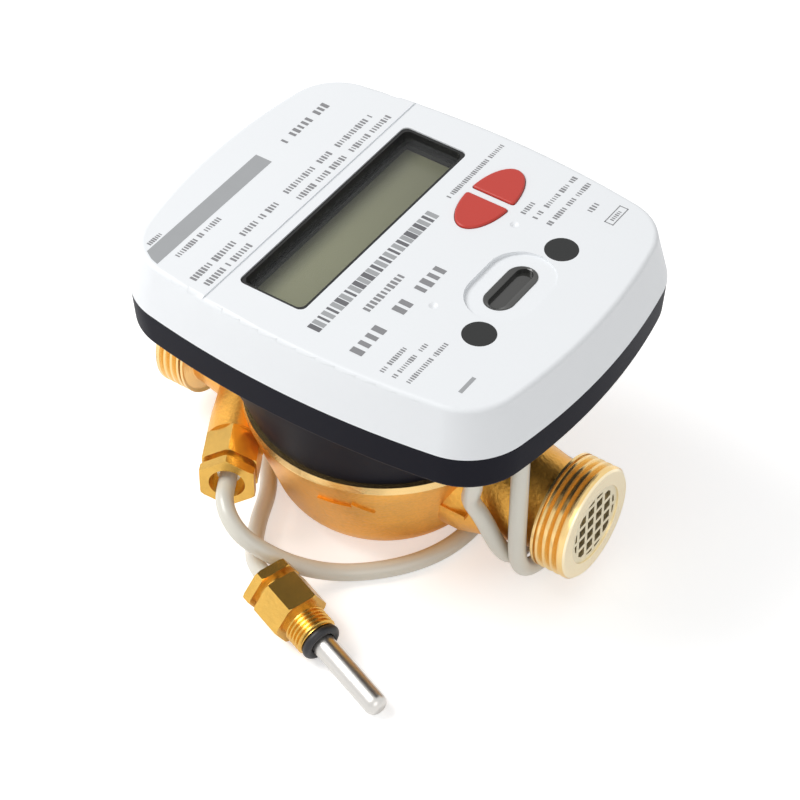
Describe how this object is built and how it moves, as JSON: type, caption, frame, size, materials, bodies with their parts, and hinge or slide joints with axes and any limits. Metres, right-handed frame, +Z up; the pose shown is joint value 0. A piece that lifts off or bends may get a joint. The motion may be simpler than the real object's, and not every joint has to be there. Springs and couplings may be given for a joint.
{
  "type": "compact heat meter",
  "caption": "Compact heat meter with a threaded brass flow body, a turning calculator head with display and keys, and two cabled temperature probes.",
  "frame": {"origin": "middle of the flat pad under the measuring chamber, on the surface the meter stands on", "axes": "+X along the pipe axis towards the end with the strainer, +Y to the right-hand side of the display's reading direction, +Z up along the chamber's axis"},
  "size_m": [0.1127, 0.1531, 0.0766],
  "materials": {
    "body_brass": "satin cast",
    "turned_brass": "satin turned",
    "strainer_steel": "satin",
    "plain_steel": "satin",
    "probe_steel": "satin",
    "disc_steel": "dark, satin",
    "impeller_plastic": "satin",
    "bearing_plastic": "polished",
    "chamber_plastic": "satin",
    "seal_rubber": "matte",
    "gland_rubber": "matte",
    "base_plastic": "fine matte",
    "cover_plastic": "fine matte",
    "inner_plastic": "matte",
    "lens_clear": "clear",
    "panel_glass": "smooth",
    "board_green": "smooth",
    "key_red": "satin",
    "window_dark": "smooth",
    "diode_clear": "clear",
    "battery_sleeve": "smooth",
    "coil_copper": "enamelled wire",
    "terminal_plastic": "smooth",
    "cable_jacket": "satin jacket",
    "tie_plastic": "smooth"
  },
  "bodies": {
    "meter_body": {"flow_body": "body_brass", "strainer": "strainer_steel", "impeller_shaft": "plain_steel", "lower_bearing": "bearing_plastic", "upper_bearing": "bearing_plastic", "chamber_plate": "chamber_plastic", "chamber_seal": "seal_rubber", "lock_ring": "turned_brass", "return_probe_adapter": "turned_brass", "return_probe_tube": "probe_steel", "return_probe_seal": "seal_rubber", "supply_probe_adapter": "turned_brass", "supply_probe_tube": "probe_steel", "supply_probe_seal": "seal_rubber", "return_cable": "cable_jacket", "supply_cable_upper": "cable_jacket", "supply_cable_lower": "cable_jacket", "supply_cable_coil": "cable_jacket", "coil_tie": "tie_plastic"},
    "calculator": {"base_shell": "base_plastic", "cover_gasket": "seal_rubber", "top_cover": "cover_plastic", "display_lens": "lens_clear", "display_frame": "inner_plastic", "display_panel": "panel_glass", "contact_strips": "seal_rubber", "circuit_board": "board_green", "board_screws": "plain_steel", "key_switches": "inner_plastic", "optical_window": "window_dark", "infrared_emitter": "diode_clear", "infrared_receiver": "window_dark", "left_steel_disc": "disc_steel", "right_steel_disc": "disc_steel", "battery": "battery_sleeve", "battery_cradle": "inner_plastic", "pickup_coils": "coil_copper", "terminal_block": "terminal_plastic", "return_cable_gland": "gland_rubber", "supply_cable_gland": "gland_rubber"},
    "impeller_wheel": {"impeller": "impeller_plastic", "signal_disc": "plain_steel"},
    "left_push_key": {"left_key": "key_red"},
    "right_push_key": {"right_key": "key_red"}
  },
  "joints": [
    {"name": "head_turn", "type": "hinge", "parent": "meter_body", "child": "calculator", "pos_m": [0, 0, 0.033], "axis": [0, 0, 1], "range_deg": [-25, 25]},
    {"name": "impeller_spin", "type": "hinge", "parent": "meter_body", "child": "impeller_wheel", "pos_m": [0, 0, 0.015], "axis": [0, 0, 1], "continuous": true},
    {"name": "left_key_press", "type": "slide", "parent": "calculator", "child": "left_push_key", "axis": [0, 0, -1], "range_m": [0, 0.0006], "stiffness_N_per_m": 2000},
    {"name": "right_key_press", "type": "slide", "parent": "calculator", "child": "right_push_key", "axis": [0, 0, -1], "range_m": [0, 0.0006], "stiffness_N_per_m": 2000}
  ]
}
